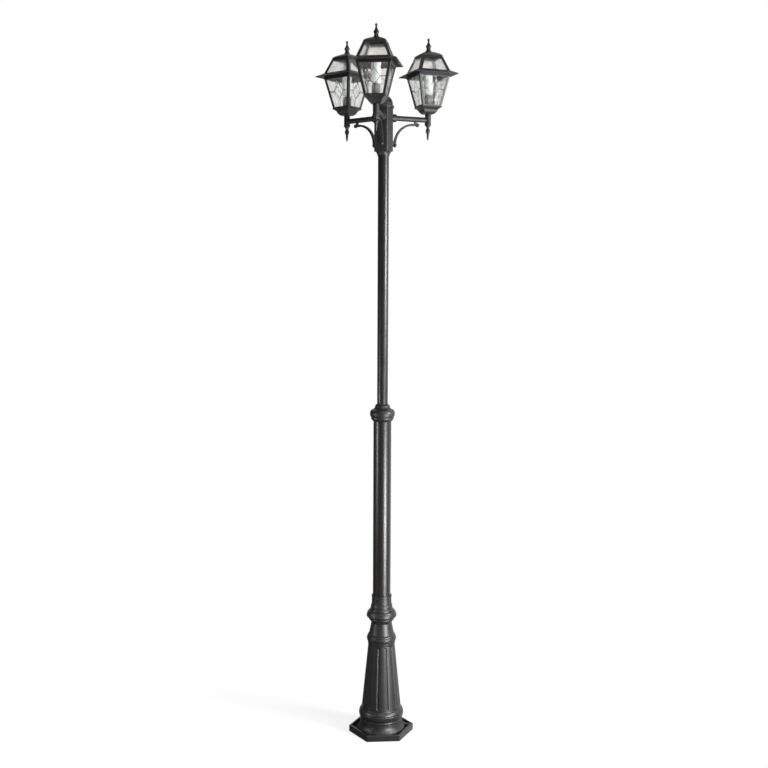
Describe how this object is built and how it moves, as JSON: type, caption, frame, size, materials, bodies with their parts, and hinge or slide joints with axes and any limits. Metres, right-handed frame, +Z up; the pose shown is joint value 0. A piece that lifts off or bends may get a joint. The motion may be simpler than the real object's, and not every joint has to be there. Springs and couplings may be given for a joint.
{
  "type": "triple head lamp post",
  "caption": "Garden lamp post with a fluted cast pedestal, telescoped tubes and a hexagonal hub whose arms carry square glazed lanterns over drop finials.",
  "frame": {"origin": "on the post's axis, at the ground, in the foot's underside", "axes": "+Z up along the post, -Y along the front arm, +X to the right seen from the front arm's side"},
  "size_m": [0.4754, 0.4118, 2.33],
  "materials": {
    "graphite_coat": "satin graphite powder coat over cast or drawn aluminium",
    "stainless": "plain stainless",
    "block_plastic": "moulded white",
    "holder_plastic": "moulded grey",
    "pane_glass": "clear, rolled, with an embossed pattern",
    "opal_lamp": "frosted white"
  },
  "bodies": {
    "post": {"base_casting": "graphite_coat", "base_set_screws": "stainless", "lower_tube": "graphite_coat", "tube_collar": "graphite_coat", "collar_set_screws": "stainless", "upper_tube": "graphite_coat"},
    "head": {"hub_sleeve": "graphite_coat", "hub_cap": "graphite_coat", "hub_set_screws": "stainless", "terminal_block": "block_plastic", "arm_front": "graphite_coat", "arm_nut_front": "stainless", "brace_front": "graphite_coat", "column_front": "graphite_coat", "drop_finial_front": "graphite_coat", "cup_front": "graphite_coat", "body_frame_front": "graphite_coat", "body_panes_front": "pane_glass", "lampholder_front": "holder_plastic", "arm_left": "graphite_coat", "arm_nut_left": "stainless", "brace_left": "graphite_coat", "column_left": "graphite_coat", "drop_finial_left": "graphite_coat", "cup_left": "graphite_coat", "body_frame_left": "graphite_coat", "body_panes_left": "pane_glass", "lampholder_left": "holder_plastic", "arm_right": "graphite_coat", "arm_nut_right": "stainless", "brace_right": "graphite_coat", "column_right": "graphite_coat", "drop_finial_right": "graphite_coat", "cup_right": "graphite_coat", "body_frame_right": "graphite_coat", "body_panes_right": "pane_glass", "lampholder_right": "holder_plastic"},
    "roof_front": {"roof_frame_front": "graphite_coat", "roof_panes_front": "pane_glass", "roof_cap_front": "graphite_coat", "top_finial_front": "graphite_coat"},
    "roof_left": {"roof_frame_left": "graphite_coat", "roof_panes_left": "pane_glass", "roof_cap_left": "graphite_coat", "top_finial_left": "graphite_coat"},
    "roof_right": {"roof_frame_right": "graphite_coat", "roof_panes_right": "pane_glass", "roof_cap_right": "graphite_coat", "top_finial_right": "graphite_coat"},
    "lamp_front": {"lamp_front": "opal_lamp"},
    "lamp_left": {"lamp_left": "opal_lamp"},
    "lamp_right": {"lamp_right": "opal_lamp"}
  },
  "joints": [
    {"name": "head_turn", "type": "hinge", "parent": "post", "child": "head", "pos_m": [0, 0, 1.97], "axis": [0, 0, 1], "range_deg": [-170, 170]},
    {"name": "roof_lift_front", "type": "slide", "parent": "head", "child": "roof_front", "axis": [0, 0, 1], "range_m": [0, 0.15]},
    {"name": "roof_lift_left", "type": "slide", "parent": "head", "child": "roof_left", "axis": [0, 0, 1], "range_m": [0, 0.15]},
    {"name": "roof_lift_right", "type": "slide", "parent": "head", "child": "roof_right", "axis": [0, 0, 1], "range_m": [0, 0.15]},
    {"name": "lamp_unscrew_front", "type": "slide", "parent": "head", "child": "lamp_front", "axis": [0, 0, 1], "range_m": [0, 0.032]},
    {"name": "lamp_unscrew_left", "type": "slide", "parent": "head", "child": "lamp_left", "axis": [0, 0, 1], "range_m": [0, 0.032]},
    {"name": "lamp_unscrew_right", "type": "slide", "parent": "head", "child": "lamp_right", "axis": [0, 0, 1], "range_m": [0, 0.032]}
  ]
}
